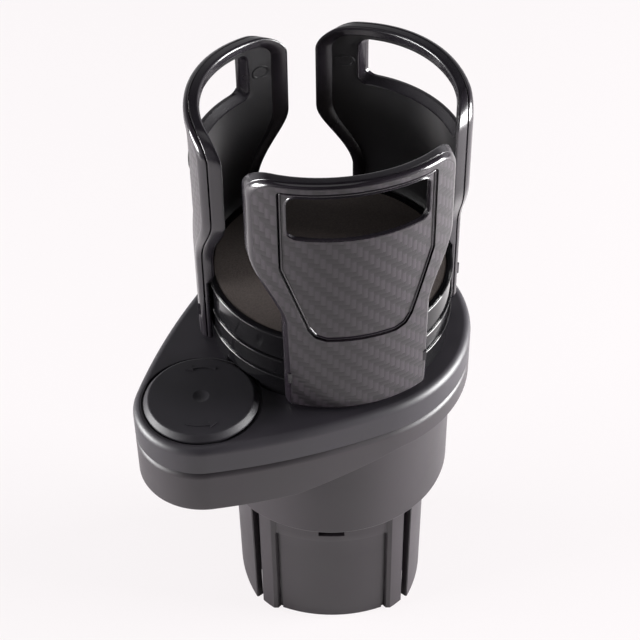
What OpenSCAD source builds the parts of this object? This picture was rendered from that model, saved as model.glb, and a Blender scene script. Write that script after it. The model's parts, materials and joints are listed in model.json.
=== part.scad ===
// Two-level car cup holder: a plug that drops into the console's own cup holder, a well above it,
// and a tray that swings aside and carries a second cup seat with three sliding claws.
// Millimetres. The foot's centre is the origin and +Z is up; the tray's pivot lies on -X.

/* [Plug that fits the car's holder] */
// Height of the plug, from the foot to the step
plug_h = 55.5; // [50:0.5:62]
// Radius over the ribs at the step
rib_r = 34.8; // [34:0.1:36]
// Draft of the ribs: how much smaller they are at the foot
rib_draft = 0.4; // [0.2:0.1:1]
// Radius of the recessed front and back panels
panel_r = 30.7; // [30.3:0.1:31.5]
// Radius of the spring tongues at their fullest
tongue_r = 33.9; // [33.5:0.1:34.2]
// Wall of the panels and tongues
plug_wall = 2.2; // [1.8:0.1:2.4]
// Half angle of each panel, in degrees
panel_half = 34; // [32:1:36]
// Width of the open slits beside the tongues
slit_w = 2.5; // [1.5:0.1:3]
// Angle of one rib, in degrees
rib_angle = 13; // [11:1:14]
// Thickness of the plug's floor
floor_t = 2.2; // [1.6:0.1:3]

/* [Well] */
// Outer radius of the well
well_r = 39.25; // [38.5:0.25:41]
// Wall of the well
well_wall = 2.8; // [2:0.1:3.2]
// Radius of the narrow lower part of the well
neck_r = 25.8; // [25:0.1:26]
// Thickness of the shelf at the step
shelf_t = 2.5; // [2:0.1:3.5]

/* [Tray outline] */
// Radius of the round end over the well
cup_end_r = 45; // [44:0.5:47]
// Radius of the pivot end
tail_r = 21; // [20.5:0.5:23]
// Distance from the well's axis to the pivot
pivot_d = 54; // [53:0.5:58]
// Radius of the slightly bulging sides
side_r = 218; // [190:2:260]
// Wall of the two tray shells
shell_wall = 2.4; // [2:0.1:2.8]

/* [Tray heights] */
// Height of the parting line between the two tray shells
deck_z = 105.5; // [100:0.5:112]
// Depth of the lower shell's skirt at the pivot end
skirt_tail = 16; // [14:0.5:18]
// Depth of the lower shell's skirt round the well
skirt_cup = 8.2; // [7:0.1:10]
// Gap between the two shells
parting_gap = 0.5; // [0.4:0.1:0.8]
// Height of the upper shell
tray_h = 10.2; // [9.5:0.1:12]
// Rounding of the upper shell's top edge
tray_edge_r = 2.6; // [1.5:0.1:3]
// Rounding of the lower shell's top edge
deck_edge_r = 2.1; // [1.5:0.1:2.3]

/* [Pivot] */
// Outer radius of the pivot post
post_r = 6; // [5.6:0.1:6.4]
// Radius of the clamp stem
stem_r = 2.95; // [2.5:0.05:3.2]
// Radius of the lock knob's flat face
knob_face_r = 16; // [14:0.1:16.5]
// Outer radius of the lock knob
knob_r = 17.7; // [17:0.1:17.9]
// How far the knob stands above the tray
knob_rise = 2.1; // [1.5:0.1:3]
// Depth of the knob's recess
knob_recess = 1; // [0.8:0.1:1.2]
// Radial gap round the knob
knob_gap = 0.9; // [0.4:0.1:1]

/* [Cup seat] */
// Outer radius over the lips of the seat's three layers
seat_r = 38.15; // [37.5:0.05:38.5]
// How far each lip stands out
lip_d = 0.5; // [0.3:0.1:0.8]
// Height of each lip
lip_h = 0.9; // [0.6:0.1:1.2]
// Height of the bottom layer
base_ring_h = 8.1; // [7:0.1:9]
// Height of the middle layer, with the slide ways
guide_h = 7; // [6.6:0.1:8]
// Height of the turning drum
drum_h = 9.8; // [9:0.1:11]
// Radius of the drum's axle
axle_r = 6; // [5:0.1:7]
// Thickness of the mat on the drum
mat_t = 1.2; // [1:0.1:1.6]
// Rim of the drum round the mat
mat_margin = 1.95; // [1.5:0.05:2.5]

/* [Claws] */
// Outer radius of the claws when closed
claw_r = 41.8; // [41.5:0.1:42.4]
// Thickness of the patterned cover
cover_t = 1.6; // [1.2:0.1:1.8]
// Thickness of the claw's frame above the drum
frame_t = 3; // [2.6:0.1:3.4]
// Top of the claws
claw_top = 204; // [195:0.5:215]
// Gap between the tray and the claws
claw_foot_gap = 0.8; // [0.6:0.1:4]
// Half width of a claw at its top
claw_half = 30.2; // [28:0.1:31]
// Half width of a claw at its foot
claw_waist = 21.8; // [20:0.1:23]
// Height at which a claw starts to widen
waist_z = 149; // [145:0.5:152]
// Height at which it has its full width
shoulder_z = 173; // [168:0.5:176]
// Rounding of a claw's top corners
claw_corner_r = 7; // [5:0.5:8]
// Half width of the window
window_half = 20.4; // [18:0.1:21]
// Height of the window
window_h = 15.5; // [12:0.5:17]
// Bar above the window
window_bar = 4.7; // [4:0.1:6]
// Rounding of the window's corners
window_corner_r = 2.6; // [1.5:0.1:4]
// Depth of the sunk field on the cover
field_d = 0.7; // [0.3:0.1:0.9]

/* [Claw slides] */
// How far a claw slides outward
claw_travel = 13; // [10:0.5:13]
// Turn of the drum that opens the claws, in degrees
drum_turn = 100; // [90:1:102]
// Distance from the axis to a claw's pin when closed
pin_seat = 17.5; // [17:0.1:18]
// Radius of a claw's pin
pin_r = 2; // [1.8:0.1:2.2]
// Half width of a claw's arm
arm_half = 6; // [5:0.1:7]
// Thickness of a claw's arm
arm_t = 4.4; // [3.5:0.1:4.6]

/* [Fits] */
// Radial clearance of a running fit
run_fit = 0.05; // [0.02:0.01:0.09]
// Gap between parts that slide or turn past each other
slide_gap = 0.3; // [0.25:0.05:0.4]
// Gap between parts that are clipped or laid together
seat_gap = 0.1; // [0.05:0.05:0.2]

/* [Hidden] */
$fn = 96;
black_gloss = "#151416";
black_matt = "#2d2a2f";
black_body = "#3b393b";
carbon = "#454247";
steel = "#9a9da0";
brass = "#b08d4a";
rubber = "#1d1b1a";
cut = 1;
weld = 0.5;

// Plug: the shell's inner face, the hooks and the slots that hold it to the shelf
plug_in = panel_r - plug_wall;
slit_angle = slit_w / rib_r * 180 / PI;
tongue_half = 90 - panel_half - rib_angle - slit_angle;
tongue_draw_in = 0.7;
tongue_foot_r = tongue_r - tongue_draw_in;
tongue_in = tongue_foot_r - plug_wall;
tongue_foot_gap = 0.8;
tongue_top_gap = 0.4;
floor_r = plug_in - 0.5;
rib_lap = 1;
tongue_full_z = 14;
tongue_edge = 6;
band_h = 13.5;
band_d = 0.5;
top_ring_h = 4;
slot_half_angle = 8.6;
slot_h = 2.6;
slot_cover = 8;
slot_low = plug_h - slot_cover - slot_h;
hook_t = 1.6;
nib_d = 1.2;
nib_gap = 0.2;
hook_lead = 0.8;
panel_angles = [45, 225];
tongue_angles = [135, 315];
rib_offset = panel_half + rib_angle / 2;

// Heights that follow from the driving sizes
shelf_z = plug_h + shelf_t;
tray_z = deck_z + parting_gap;
tray_top = tray_z + tray_h;
plate_z = tray_z + 2 * seat_gap;
plate_t = 1.6;
ring_top = tray_top + base_ring_h;
guide_top = ring_top + guide_h;
drum_z = guide_top + slide_gap;
drum_top = drum_z + drum_h;
claw_z = tray_top + claw_foot_gap;

// Centres of the side arcs, and where they leave the two round ends
side_a = side_r - cup_end_r;
side_b = side_r - tail_r;
side_x = (side_b ^ 2 - side_a ^ 2 - pivot_d ^ 2) / (2 * pivot_d);
side_y = sqrt(side_a ^ 2 - side_x ^ 2);
cup_tangent_x = -side_x * cup_end_r / side_a;
tail_tangent_x = -pivot_d - (pivot_d + side_x) * tail_r / side_b;
cup_tangent_a = atan2(side_y, -side_x);
tail_tangent_a = atan2(side_y, -pivot_d - side_x);
foot_edge_r = 0.8;

// Pivot stack: post in the boss, washer on the deck, stem through both shells into the nut
boss_r = post_r + 3.6;
hub_r = post_r + 4;
nut_h = 4.6;
nut_r = stem_r + 4;
nut_z = deck_z - skirt_tail + slide_gap;
post_z = nut_z + nut_h + slide_gap;
knob_floor = tray_top - knob_recess;
knob_washer_t = 0.9;
knob_washer_r = 9;
washer_floor = knob_floor - knob_washer_t - seat_gap;
post_top = washer_floor - 1.4;
thrust_t = 1;
thrust_z = deck_z + parting_gap - slide_gap - thrust_t;
thrust_r = pivot_d - well_r - 3 * slide_gap;
knob_z = knob_floor + slide_gap;
knob_top = tray_top + knob_rise;
dimple_r = 2.4;

// Cup seat
seat_wall_r = seat_r - lip_d;
seat_wall = 2.4;
mat_z = drum_top - mat_t;
mat_r = seat_r - mat_margin;
knob_notch_r = pivot_d - seat_wall_r + seat_wall + seat_gap;
axle_top = mat_z - 1.9;
hub_floor = axle_top - slide_gap;
axle_washer_t = 0.8;
axle_washer_r = axle_r + 3;

// Claws: the cover outside, the frame inside it, the drum within the frame's lower part
cover_in = claw_r - cover_t;
frame_out = cover_in - seat_gap;
frame_in = frame_out - frame_t;
frame_low_in = seat_r + slide_gap + seat_gap;
frame_step_z = drum_top + 2 * slide_gap;
window_top = claw_top - window_bar;
window_z = window_top - window_h;
field_half = window_half + 2.6;
field_low_z = waist_z - 3.7;
field_low_half = claw_waist - 11.3;
field_knee_z = shoulder_z - 2;
field_top_z = window_top + 1.2;
foot_corner_r = 2;

// Claw slides: arm in its slot, pin in the drum's spiral groove
arm_slot_half = arm_half + slide_gap;
arm_top = guide_top - slide_gap / 2;
arm_z = arm_top - arm_t;
arm_tail = 4;
pad_in = seat_r - 6;
pad_half = claw_waist - 0.4;
pin_foot = 0.8;
pin_top = drum_z + 3.2;
groove_top = pin_top + 0.6;
groove_half = pin_r + slide_gap;
groove_rate = claw_travel / drum_turn;
groove_steps = 20;
claw_angles = [0, 120, 240];

// Fasteners
screw_r = 1.15;
screw_head_r = 2.5;
screw_head_h = 1.3;
screw_l = 7;
screw_boss_r = 3.2;
pilot_gap = 0.05;
through_gap = 0.35;
bolt_circle = 29;
bolt_angles = [60, 180, 300];
bolt_head_h = 1.7;
bolt_top = ring_top + 4.4;
axle_screw_r = 1.9;

function polar(r, a) = [r * cos(a), r * sin(a)];
screw_line_r = cup_end_r - shell_wall - screw_boss_r - 0.4;
screw_seats = concat([for (a = [35, 105, 255, 325]) polar(screw_line_r, a)],
                     [[-pivot_d - tail_r + shell_wall + screw_boss_r + 0.4, 0]]);

// A rounded corner: points on an arc
function arc(x, y, r, from, to, n = 8) =
    [for (i = [0:n]) [x + r * cos(from + (to - from) * i / n), y + r * sin(from + (to - from) * i / n)]];
function mirrored(points) = [for (i = [len(points) - 1:-1:0]) [-points[i][0], points[i][1]]];

// Right half of a claw's outline: rounded foot, waist, smooth shoulder, rounded top
function ease(t) = t * t * (3 - 2 * t);
claw_side = concat(
    arc(claw_waist - foot_corner_r, claw_z + foot_corner_r, foot_corner_r, -90, 0, 4),
    [for (t = [0:0.1:1]) [claw_waist + (claw_half - claw_waist) * ease(t),
                          waist_z + (shoulder_z - waist_z) * t]],
    arc(claw_half - claw_corner_r, claw_top - claw_corner_r, claw_corner_r, 0, 90));
field_side = [[field_low_half, field_low_z], [field_low_half + 3.4, field_low_z + 1.3],
              [field_low_half + 5.4, field_low_z + 4.4], [field_half, field_knee_z],
              [field_half, field_top_z]];

// A sector of a ring, from a profile drawn in radius and height
module sector(mid, half) {
    rotate([0, 0, mid - half]) rotate_extrude(angle = 2 * half) children();
}

module tube(r_out, r_in, z0, z1) {
    difference() {
        translate([0, 0, z0]) cylinder(r = r_out, h = z1 - z0);
        translate([0, 0, z0 - cut]) cylinder(r = r_in, h = z1 - z0 + 2 * cut);
    }
}

module at_pivot() {
    translate([-pivot_d, 0, 0]) children();
}

// Plan of the tray, drawn in by a margin all round
module tray_plan(margin) {
    circle(r = cup_end_r - margin);
    translate([-pivot_d, 0]) circle(r = tail_r - margin);
    intersection() {
        translate([side_x, -side_y]) circle(r = side_r - margin, $fn = 360);
        translate([side_x, side_y]) circle(r = side_r - margin, $fn = 360);
        translate([tail_tangent_x, -cup_end_r])
            square([cup_tangent_x - tail_tangent_x, 2 * cup_end_r]);
    }
}

// Outline of the tray, drawn in by a margin: round end, side, pivot end, side
function outline(m) = concat(
    arc(0, 0, cup_end_r - m, -cup_tangent_a, cup_tangent_a, 36),
    arc(side_x, -side_y, side_r - m, cup_tangent_a, tail_tangent_a, 9),
    arc(-pivot_d, 0, tail_r - m, tail_tangent_a, 360 - tail_tangent_a, 20),
    arc(side_x, side_y, side_r - m, -tail_tangent_a, -cup_tangent_a, 9));
function distinct(points) =
    [for (i = [0:len(points) - 1]) if (norm(points[i] - points[(i + 1) % len(points)]) > 0.001) points[i]];

// The tray's plan as a solid, rounded along its top edge and slightly along its bottom edge
module tray_solid(z0, z1, top_r) {
    steps = concat([[z0, foot_edge_r], [z0 + foot_edge_r, 0]],
                   [for (t = [0:15:90]) [z1 - top_r + top_r * sin(t), top_r * (1 - cos(t))]]);
    rings = [for (s = steps) [for (p = distinct(outline(s[1]))) [p[0], p[1], s[0]]]];
    n = len(rings[0]);
    polyhedron(points = [for (ring = rings) for (p = ring) p],
               faces = concat([[for (i = [0:n - 1]) i]],
                              [for (k = [0:len(steps) - 2]) for (i = [0:n - 1])
                                  [k * n + i, (k + 1) * n + i,
                                   (k + 1) * n + (i + 1) % n, k * n + (i + 1) % n]],
                              [[for (i = [n - 1:-1:0]) (len(steps) - 1) * n + i]]));
}

// Side view of the lower shell: deep at the pivot, shallow round the well
module skirt_side() {
    slope_run = 11;
    slope_tail = -pivot_d + slope_run;
    slope_cup = -slope_run;
    far = cup_end_r + cut;
    near = -pivot_d - tail_r - cut;
    translate([0, far, 0]) rotate([90, 0, 0]) linear_extrude(2 * far)
        polygon([[near, deck_z - skirt_tail], [slope_tail, deck_z - skirt_tail],
                 [slope_cup, deck_z - skirt_cup], [far, deck_z - skirt_cup],
                 [far, deck_z + cut], [near, deck_z + cut]]);
}

// Pivot boss and the ribs that tie it to the skirt
module skirt_ribs() {
    rib_t = 1.8;
    rib_lift = 3;
    low = deck_z - skirt_tail - cut;
    at_pivot() translate([0, 0, low]) cylinder(r = boss_r, h = skirt_tail + cut);
    at_pivot() for (a = [0:60:300]) rotate([0, 0, a])
        translate([0, -rib_t / 2, low + rib_lift]) cube([pivot_d, rib_t, skirt_tail]);
}

// Hook under the shelf, with its nib in the plug's slot
module plug_hook(a) {
    hook_half = slot_half_angle - hook_lead;
    r = plug_in - slide_gap;
    sector(a, hook_half) {
        translate([r - hook_t, slot_low - hook_lead])
            square([hook_t, plug_h - slot_low + hook_lead + cut]);
        translate([r - hook_t, slot_low + nib_gap]) square([hook_t + nib_d, slot_h - 2 * nib_gap]);
    }
}

// Lower shell: deck, skirt and pivot boss, with the hole that takes the well's barrel
module lower_body() {
    color(black_body) difference() {
        intersection() {
            difference() {
                tray_solid(deck_z - skirt_tail, deck_z, deck_edge_r);
                difference() {
                    translate([0, 0, deck_z - skirt_tail - cut])
                        linear_extrude(skirt_tail - shell_wall + cut) tray_plan(shell_wall);
                    skirt_ribs();
                }
            }
            skirt_side();
        }
        translate([0, 0, deck_z - skirt_tail - cut])
            cylinder(r = well_r + seat_gap, h = skirt_tail + 2 * cut);
        at_pivot() {
            translate([0, 0, nut_z - slide_gap - cut])
                cylinder(r = nut_r + seat_gap, h = nut_h + 2 * slide_gap + cut, $fn = 6);
            translate([0, 0, nut_z]) cylinder(r = post_r + run_fit, h = deck_z - nut_z + cut);
            translate([0, 0, thrust_z]) cylinder(r = thrust_r + seat_gap, h = deck_z - thrust_z + cut);
        }
    }
}

// Barrel of the well, down to the shelf at the step, with the hooks that hold the plug
module well_barrel() {
    color(black_body) difference() {
        union() {
            translate([0, 0, plug_h]) cylinder(r = well_r, h = deck_z - plug_h);
            for (a = panel_angles) plug_hook(a);
        }
        translate([0, 0, shelf_z]) cylinder(r = well_r - well_wall, h = deck_z - shelf_z + cut);
        translate([0, 0, plug_h - cut]) cylinder(r = neck_r, h = shelf_t + 2 * cut);
    }
}

// Shell of the plug with its floor, cut away behind the tongues and grooved beside the panels
module plug_shell() {
    groove_half = 1.6;
    groove_d = 0.7;
    groove_top_z = plug_h - band_h - 2 * band_d;
    difference() {
        rotate_extrude()
            polygon([[0, 0], [panel_r, 0], [panel_r, plug_h - band_h - band_d],
                     [panel_r + band_d, plug_h - band_h], [panel_r + band_d, plug_h],
                     [plug_in, plug_h], [plug_in, floor_t], [0, floor_t]]);
        for (a = tongue_angles) sector(a, tongue_half + slit_angle + rib_lap)
            translate([floor_r, -cut]) square([rib_r - floor_r, plug_h - top_ring_h + cut]);
        for (a = panel_angles) for (side = [-1, 1])
            sector(a + side * (panel_half - groove_half + rib_lap), groove_half)
                translate([panel_r - groove_d, -cut]) square([rib_r - panel_r, groove_top_z + cut]);
    }
}

// Drafted rib, rooted in the shell's wall
module rib(a) {
    sector(a, rib_angle / 2)
        polygon([[panel_r - weld, 0], [rib_r - rib_draft, 0], [rib_r, plug_h], [panel_r - weld, plug_h]]);
}

// Hollow that cores a rib from inside
module rib_core(a) {
    core_low = floor_t + 2;
    sector(a, rib_angle / 2 - 3.5) translate([plug_in - cut, core_low])
        square([rib_r - rib_draft - plug_wall - plug_in + cut, plug_h - core_low - top_ring_h]);
}

// Sprung tongue, hung from the top ring, fullest low down, with a thicker edge beside each slit
module tongue(a) {
    sector(a, tongue_half - tongue_edge / 2)
        polygon([[tongue_in, tongue_foot_gap], [tongue_foot_r, tongue_foot_gap], [tongue_r, tongue_full_z],
                 [tongue_foot_r, plug_h - tongue_top_gap], [plug_in + weld, plug_h - tongue_top_gap],
                 [plug_in + weld, plug_h - top_ring_h + weld], [tongue_in, plug_h - top_ring_h - weld]]);
    for (side = [-1, 1]) sector(a + side * (tongue_half - tongue_edge / 2), tongue_edge / 2)
        polygon([[tongue_in + weld, tongue_foot_gap], [rib_r - rib_draft, tongue_foot_gap], [rib_r, plug_h],
                 [tongue_in + weld, plug_h]]);
}

module base_plug() {
    rib_angles = [for (a = panel_angles) for (side = [-1, 1]) a + side * rib_offset];
    color(black_body) difference() {
        union() {
            plug_shell();
            for (a = rib_angles) rib(a);
            for (a = tongue_angles) tongue(a);
        }
        for (a = rib_angles) rib_core(a);
        for (a = panel_angles) sector(a, slot_half_angle)
            translate([plug_in - cut, slot_low]) square([rib_r - plug_in + 2 * cut, slot_h]);
    }
}

module well_mat() {
    color(rubber) translate([0, 0, floor_t]) cylinder(r = neck_r - slide_gap, h = mat_t);
}

module pivot_post() {
    color(steel) at_pivot() tube(post_r, stem_r + slide_gap, post_z, post_top);
}

module friction_washer() {
    color(rubber) at_pivot() tube(thrust_r, post_r + slide_gap, thrust_z, thrust_z + thrust_t);
}

module clamp_nut() {
    color(brass) at_pivot() difference() {
        translate([0, 0, nut_z]) cylinder(r = nut_r, h = nut_h, $fn = 6);
        translate([0, 0, nut_z - cut]) cylinder(r = stem_r + run_fit, h = nut_h + 2 * cut);
    }
}

module upper_tray() {
    roof_z = tray_top - shell_wall;
    color(black_matt) difference() {
        tray_solid(tray_z, tray_top, tray_edge_r);
        difference() {
            translate([0, 0, tray_z - cut]) linear_extrude(roof_z - tray_z + cut) tray_plan(shell_wall);
            at_pivot() translate([0, 0, tray_z]) cylinder(r = hub_r, h = tray_h);
            for (p = screw_seats) translate([p[0], p[1], plate_z + plate_t])
                cylinder(r = screw_boss_r, h = tray_h);
        }
        for (p = screw_seats) translate([p[0], p[1], plate_z])
            cylinder(r = screw_r + pilot_gap, h = screw_l + 0.5);
        for (a = bolt_angles) rotate([0, 0, a]) translate([bolt_circle, 0, roof_z - cut])
            cylinder(r = screw_r + through_gap, h = shell_wall + 2 * cut);
        at_pivot() {
            translate([0, 0, tray_z - cut])
                cylinder(r = post_r + run_fit, h = post_top + slide_gap - tray_z + cut);
            translate([0, 0, tray_z]) cylinder(r = stem_r + slide_gap, h = tray_h + cut);
            translate([0, 0, washer_floor]) cylinder(r = knob_washer_r + slide_gap, h = 3);
            translate([0, 0, knob_floor]) cylinder(r = knob_r + knob_gap, h = 3);
        }
    }
}

module tray_underplate() {
    color(black_matt) difference() {
        translate([0, 0, plate_z]) linear_extrude(plate_t) tray_plan(shell_wall + seat_gap);
        at_pivot() translate([0, 0, plate_z - cut]) cylinder(r = hub_r + seat_gap, h = plate_t + 2 * cut);
        for (p = screw_seats) translate([p[0], p[1], plate_z]) {
            translate([0, 0, -cut]) cylinder(r = screw_r + through_gap, h = plate_t + 2 * cut);
            cylinder(r1 = screw_head_r + 2 * seat_gap, r2 = screw_r + 2 * seat_gap, h = screw_head_h);
        }
    }
}

module tray_screws() {
    color(steel) for (p = screw_seats) translate([p[0], p[1], plate_z]) {
        cylinder(r1 = screw_head_r, r2 = screw_r, h = screw_head_h);
        cylinder(r = screw_r, h = screw_l);
    }
}

module knob_washer() {
    color(rubber) at_pivot()
        tube(knob_washer_r, stem_r + slide_gap, washer_floor, washer_floor + knob_washer_t);
}

module lock_knob() {
    bevel_z = tray_top + 0.3;
    color(black_matt) at_pivot() rotate_extrude()
        polygon([[0, nut_z + 0.6], [stem_r - 0.5, nut_z + 0.6], [stem_r, nut_z + 1.1], [stem_r, knob_z],
                 [knob_r - 0.3, knob_z], [knob_r, knob_z + 0.3], [knob_r, bevel_z],
                 [knob_face_r + 0.3, knob_top - 0.15], [knob_face_r, knob_top],
                 [dimple_r, knob_top], [0, knob_top - 0.5]]);
}

// Plain wall with a lip round its top edge
module lipped_disc(z0, z1) {
    translate([0, 0, z0]) cylinder(r = seat_wall_r, h = z1 - z0);
    translate([0, 0, z1 - lip_h]) cylinder(r = seat_r, h = lip_h);
}

module base_ring() {
    color(black_gloss) difference() {
        lipped_disc(tray_top, ring_top);
        difference() {
            translate([0, 0, tray_top - cut])
                cylinder(r = seat_wall_r - seat_wall, h = base_ring_h - 2 + cut);
            for (a = bolt_angles) rotate([0, 0, a]) translate([bolt_circle, 0, tray_top])
                cylinder(r = screw_boss_r, h = base_ring_h);
        }
        for (a = bolt_angles) rotate([0, 0, a]) translate([bolt_circle, 0, tray_top - cut])
            cylinder(r = screw_r + through_gap, h = base_ring_h + 2 * cut);
        at_pivot() translate([0, 0, tray_top - cut])
            cylinder(r = knob_notch_r, h = knob_rise + slide_gap + cut);
    }
}

module guide_ring() {
    slot_z = arm_z - slide_gap;
    slot_in = pin_seat - arm_tail - slide_gap;
    color(black_gloss) difference() {
        union() {
            lipped_disc(ring_top, guide_top);
            cylinder_between(axle_r, guide_top - cut, axle_top);
        }
        for (a = claw_angles) rotate([0, 0, a]) translate([0, 0, slot_z]) {
            translate([slot_in, -arm_slot_half, 0]) cube([seat_r, 2 * arm_slot_half, guide_h]);
            translate([pad_in - slide_gap, -pad_half - slide_gap, 0])
                cube([seat_r, 2 * (pad_half + slide_gap), guide_h]);
        }
        for (a = bolt_angles) rotate([0, 0, a]) translate([bolt_circle, 0, ring_top - cut])
            cylinder(r = screw_r + pilot_gap, h = bolt_top - ring_top + cut + 0.4);
        translate([0, 0, guide_top - 4]) cylinder(r = axle_screw_r + pilot_gap, h = 20);
    }
}

module cylinder_between(r, z0, z1) {
    translate([0, 0, z0]) cylinder(r = r, h = z1 - z0);
}

module seat_screws() {
    roof_z = tray_top - shell_wall;
    color(steel) for (a = bolt_angles) rotate([0, 0, a]) translate([bolt_circle, 0, 0]) {
        cylinder_between(screw_head_r, roof_z - bolt_head_h - seat_gap, roof_z - seat_gap);
        cylinder_between(screw_r, roof_z - cut, bolt_top);
    }
}

// Plan of one spiral groove: the radius grows as the angle falls, so the turning drum drives the pin out
function groove_point(b, offset) =
    let (r = pin_seat + groove_rate * b, slope = atan(groove_rate * 180 / PI / r))
    [r * cos(b) + offset * cos(b - slope), -r * sin(b) - offset * sin(b - slope)];
module groove_plan() {
    outer = [for (i = [0:groove_steps]) groove_point(drum_turn * i / groove_steps, groove_half)];
    inner = [for (i = [groove_steps:-1:0]) groove_point(drum_turn * i / groove_steps, -groove_half)];
    polygon(concat(outer, inner));
    for (b = [0, drum_turn]) translate(groove_point(b, 0)) circle(r = groove_half);
}

module scroll_drum() {
    color(black_gloss) difference() {
        lipped_disc(drum_z, drum_top);
        translate([0, 0, mat_z]) cylinder(r = mat_r + seat_gap, h = mat_t + cut);
        translate([0, 0, hub_floor]) cylinder(r = axle_washer_r + slide_gap, h = mat_z - hub_floor + cut);
        translate([0, 0, drum_z - cut]) cylinder(r = axle_r + run_fit, h = drum_h);
        for (a = claw_angles) rotate([0, 0, a]) translate([0, 0, drum_z - cut])
            linear_extrude(groove_top - drum_z + cut) groove_plan();
    }
}

module drum_mat() {
    color(rubber) translate([0, 0, mat_z]) cylinder(r = mat_r, h = mat_t - seat_gap);
}

module axle_washer() {
    color(steel) tube(axle_washer_r, axle_screw_r + through_gap, axle_top, axle_top + axle_washer_t);
}

module axle_screw() {
    head_z = axle_top + axle_washer_t;
    color(steel) {
        cylinder_between(axle_screw_r * 2, head_z, head_z + 0.9);
        cylinder_between(axle_screw_r, guide_top - 3, head_z + 0.5);
    }
}

// Claw outline as a slab that runs outward along +X
module slab(side) {
    rotate([90, 0, 90]) linear_extrude(claw_r + 5) polygon(concat(side, mirrored(side)));
}

module window_slab() {
    r = window_corner_r;
    rotate([90, 0, 90]) linear_extrude(claw_r + 6) union() {
        translate([-window_half + r, window_z]) square([2 * (window_half - r), window_h]);
        translate([-window_half, window_z + r]) square([2 * window_half, window_h - 2 * r]);
        for (x = [-1, 1]) for (z = [window_z + r, window_top - r])
            translate([x * (window_half - r), z]) circle(r = r, $fn = 48);
    }
}

// Frame of one claw, on +X: shell round the drum and above it, pad, arm and the hole for its pin
module claw_frame(a) {
    color(black_gloss) rotate([0, 0, a]) difference() {
        union() {
            intersection() {
                rotate_extrude() polygon([[frame_low_in, claw_z], [frame_out, claw_z], [frame_out, claw_top],
                                          [frame_in, claw_top], [frame_in, frame_step_z + 1.4],
                                          [frame_low_in, frame_step_z]]);
                slab(claw_side);
            }
            intersection() {
                translate([pad_in, -pad_half, arm_z]) cube([seat_r, 2 * pad_half, arm_t]);
                cylinder_between(frame_out - seat_gap, arm_z, arm_top);
            }
            translate([pin_seat - arm_tail, -arm_half, arm_z])
                cube([pad_in - pin_seat + arm_tail + cut, 2 * arm_half, arm_t]);
        }
        window_slab();
        translate([pin_seat, 0, arm_z + pin_foot]) cylinder(r = pin_r + pilot_gap, h = arm_t);
    }
}

// Patterned cover of one claw, with the sunk field round its window
module claw_cover(a) {
    color(carbon) rotate([0, 0, a]) difference() {
        intersection() {
            tube(claw_r, cover_in, claw_z, claw_top);
            slab(claw_side);
        }
        window_slab();
        difference() {
            slab(field_side);
            cylinder_between(claw_r - field_d, claw_z, claw_top);
        }
    }
}

module claw_pin(a) {
    color(steel) rotate([0, 0, a]) translate([pin_seat, 0, 0])
        cylinder_between(pin_r, arm_z + pin_foot, pin_top);
}

lower_body();
well_barrel();
base_plug();
well_mat();
pivot_post();
friction_washer();
clamp_nut();
upper_tray();
tray_underplate();
tray_screws();
knob_washer();
lock_knob();
base_ring();
guide_ring();
seat_screws();
scroll_drum();
drum_mat();
axle_washer();
axle_screw();
claw_frame(claw_angles[0]);  // claw_frame_1
claw_frame(claw_angles[1]);  // claw_frame_2
claw_frame(claw_angles[2]);  // claw_frame_3
claw_cover(claw_angles[0]);  // claw_cover_1
claw_cover(claw_angles[1]);  // claw_cover_2
claw_cover(claw_angles[2]);  // claw_cover_3
claw_pin(claw_angles[0]);  // claw_pin_1
claw_pin(claw_angles[1]);  // claw_pin_2
claw_pin(claw_angles[2]);  // claw_pin_3
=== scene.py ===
import json
import math
import bmesh
import bpy
from mathutils import Matrix, Quaternion, Vector
from mathutils.geometry import delaunay_2d_cdt

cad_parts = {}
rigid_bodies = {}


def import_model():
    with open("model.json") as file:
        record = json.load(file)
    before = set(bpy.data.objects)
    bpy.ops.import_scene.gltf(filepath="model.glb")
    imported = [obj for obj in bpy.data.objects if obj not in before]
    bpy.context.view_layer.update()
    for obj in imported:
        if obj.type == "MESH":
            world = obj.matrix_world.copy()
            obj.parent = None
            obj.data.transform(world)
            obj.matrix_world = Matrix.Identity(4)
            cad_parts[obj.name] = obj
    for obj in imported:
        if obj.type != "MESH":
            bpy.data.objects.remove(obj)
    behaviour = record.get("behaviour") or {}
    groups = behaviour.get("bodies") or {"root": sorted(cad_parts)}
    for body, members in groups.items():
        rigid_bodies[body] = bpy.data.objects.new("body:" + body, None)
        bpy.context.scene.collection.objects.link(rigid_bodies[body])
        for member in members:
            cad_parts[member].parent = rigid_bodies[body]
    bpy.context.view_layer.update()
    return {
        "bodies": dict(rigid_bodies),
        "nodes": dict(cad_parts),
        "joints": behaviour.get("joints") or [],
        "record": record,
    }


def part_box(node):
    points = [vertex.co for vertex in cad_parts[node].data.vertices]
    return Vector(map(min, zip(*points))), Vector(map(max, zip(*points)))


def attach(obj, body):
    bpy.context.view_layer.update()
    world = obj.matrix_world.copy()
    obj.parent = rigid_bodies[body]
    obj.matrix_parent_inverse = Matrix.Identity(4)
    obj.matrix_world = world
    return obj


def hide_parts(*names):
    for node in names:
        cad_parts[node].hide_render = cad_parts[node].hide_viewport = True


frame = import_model()
nodes = frame["nodes"]
mm = 0.001


def boxMm(node):
    low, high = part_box(node)
    return low / mm, high / mm


# Materials
def hexColour(text, alpha=1.0):
    values = [int(text[i:i + 2], 16) / 255 for i in (1, 3, 5)]
    return [v / 12.92 if v <= 0.04045 else ((v + 0.055) / 1.055) ** 2.4 for v in values] + [alpha]


def addNode(tree, kind, settings=None, links=None):
    node = tree.nodes.new(kind)
    for key, value in (settings or {}).items():
        if isinstance(key, int) or key in node.inputs:
            node.inputs[key].default_value = value
        else:
            setattr(node, key, value)
    for key, source in (links or {}).items():
        tree.links.new(source, node.inputs[key])
    return node


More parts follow.
